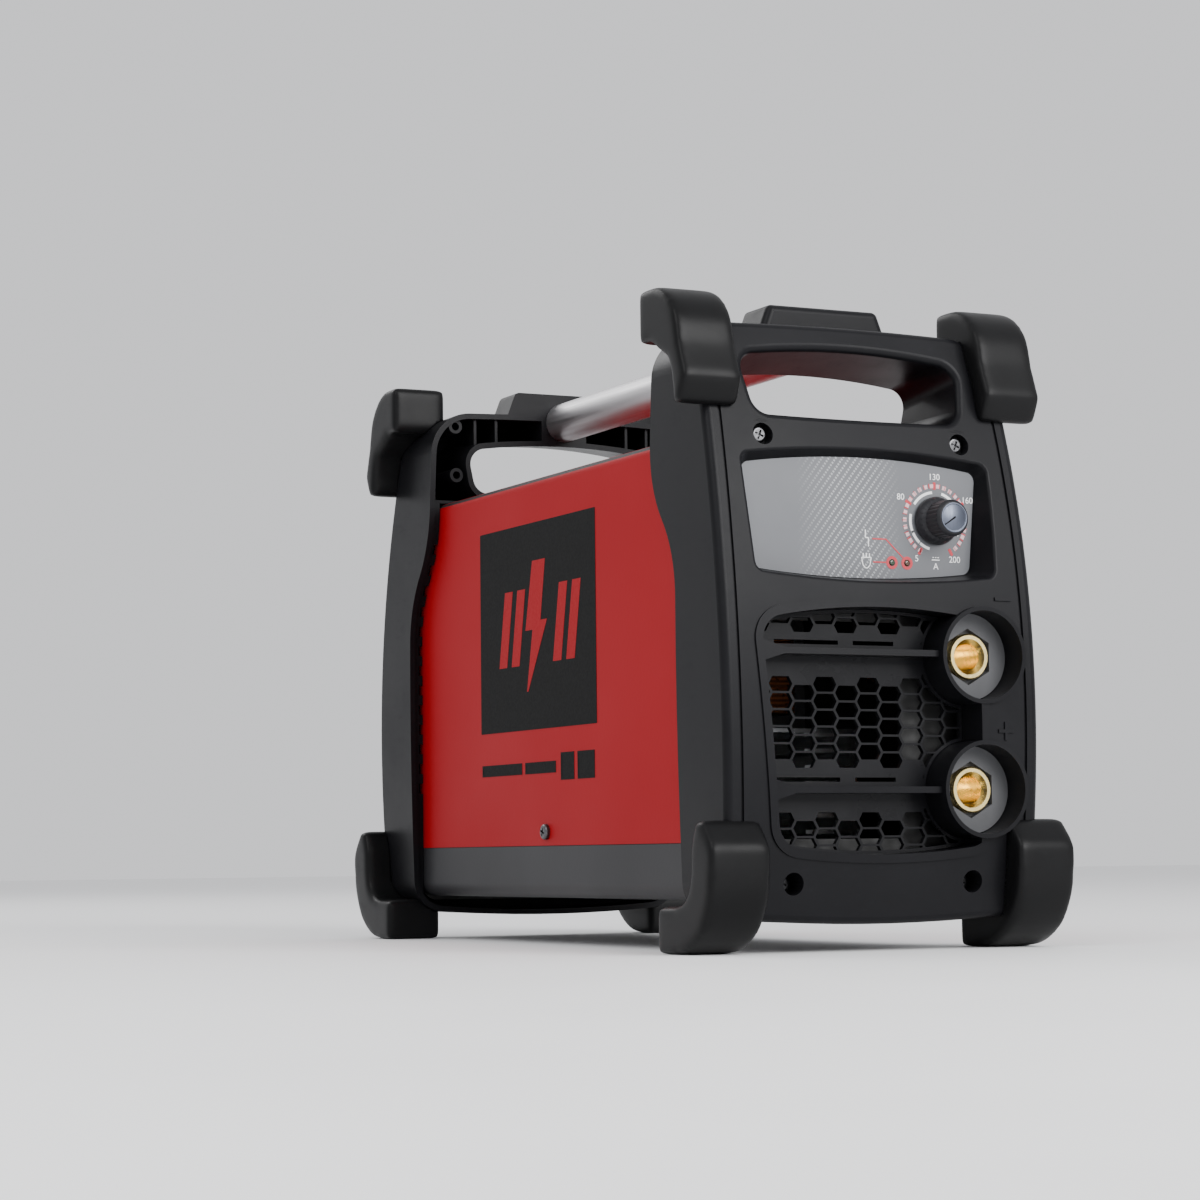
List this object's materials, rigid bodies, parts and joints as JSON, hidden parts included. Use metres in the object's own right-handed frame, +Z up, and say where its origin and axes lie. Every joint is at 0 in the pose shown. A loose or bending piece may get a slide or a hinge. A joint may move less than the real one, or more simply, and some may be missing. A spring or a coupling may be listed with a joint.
{
  "type": "stick welder",
  "caption": "Portable inverter stick welder: moulded end frames with corner bumpers, tube handle, red sheet cover, control knob and brass output sockets.",
  "frame": {"origin": "on the floor, under the middle of the machine", "axes": "+Z up, -Y towards the operator's control panel, +X to the operator's right"},
  "size_m": [0.195, 0.442, 0.31],
  "materials": {
    "moulded_black": "fine moulded texture",
    "soft_black": "soft satin",
    "tube_aluminium": "brushed and anodised",
    "red_paint": "powder coat",
    "grey_paint": "powder coat",
    "zinc_steel": "zinc plated",
    "label_grey": "satin film",
    "knob_black": "satin",
    "knob_grey": "satin",
    "brass": "turned",
    "socket_grey": "satin",
    "steel_shaft": "plain",
    "led_green": "clear",
    "led_amber": "clear",
    "copper": "plain copper",
    "ferrite": "matte",
    "sink_aluminium": "extruded",
    "board_green": "solder mask",
    "part_black": "moulded"
  },
  "bodies": {
    "housing": {"base_tray": "grey_paint", "board_spacers": "part_black", "board_standoffs": "zinc_steel", "bulk_capacitors": "sink_aluminium", "busbar_bolts": "zinc_steel", "busbar_negative": "copper", "busbar_positive": "copper", "cable_gland": "moulded_black", "choke_core": "ferrite", "choke_winding": "copper", "control_board": "board_green", "control_label": "label_grey", "cover": "red_paint", "earth_nut": "zinc_steel", "earth_stud": "brass", "fan_frame": "moulded_black", "fan_screws": "zinc_steel", "front_bumper_lower_left": "soft_black", "front_bumper_lower_right": "soft_black", "front_bumper_upper_left": "soft_black", "front_bumper_upper_right": "soft_black", "front_frame": "moulded_black", "front_grille": "moulded_black", "front_screws": "zinc_steel", "gland_locknut": "moulded_black", "gland_nut": "moulded_black", "handle_tube": "tube_aluminium", "heat_sink_left": "sink_aluminium", "heat_sink_right": "sink_aluminium", "inner_front_panel": "zinc_steel", "inner_rear_panel": "zinc_steel", "led_alarm": "led_amber", "led_power": "led_green", "output_diodes": "part_black", "potentiometer": "steel_shaft", "power_board": "board_green", "power_shelf": "zinc_steel", "power_transistors": "part_black", "rear_bumper_lower_left": "soft_black", "rear_bumper_lower_right": "soft_black", "rear_bumper_upper_left": "soft_black", "rear_bumper_upper_right": "soft_black", "rear_frame": "moulded_black", "rear_grille": "moulded_black", "rear_plate": "label_grey", "rear_screws": "zinc_steel", "side_screws": "zinc_steel", "socket_body_negative": "socket_grey", "socket_body_positive": "socket_grey", "socket_negative": "brass", "socket_nuts": "zinc_steel", "socket_positive": "brass", "switch_body": "moulded_black", "transformer_core": "ferrite", "transformer_winding": "copper"},
    "knob": {"control_knob": "knob_black", "knob_cap": "knob_grey", "pot_shaft": "steel_shaft"},
    "fan": {"fan_rotor": "moulded_black"},
    "rocker": {"switch_rocker": "knob_black"}
  },
  "joints": [
    {"name": "knob_turn", "type": "hinge", "parent": "housing", "child": "knob", "pos_m": [0.0414, -0.1918, 0.2026], "axis": [0, 1, 0], "range_deg": [-26, 274]},
    {"name": "fan_spin", "type": "hinge", "parent": "housing", "child": "fan", "pos_m": [0, 0.17, 0.101], "axis": [0, 1, 0], "continuous": true},
    {"name": "power_rocker", "type": "hinge", "parent": "housing", "child": "rocker", "pos_m": [0.036, 0.1857, 0.203], "axis": [1, 0, 0], "range_deg": [-16, 0]}
  ]
}
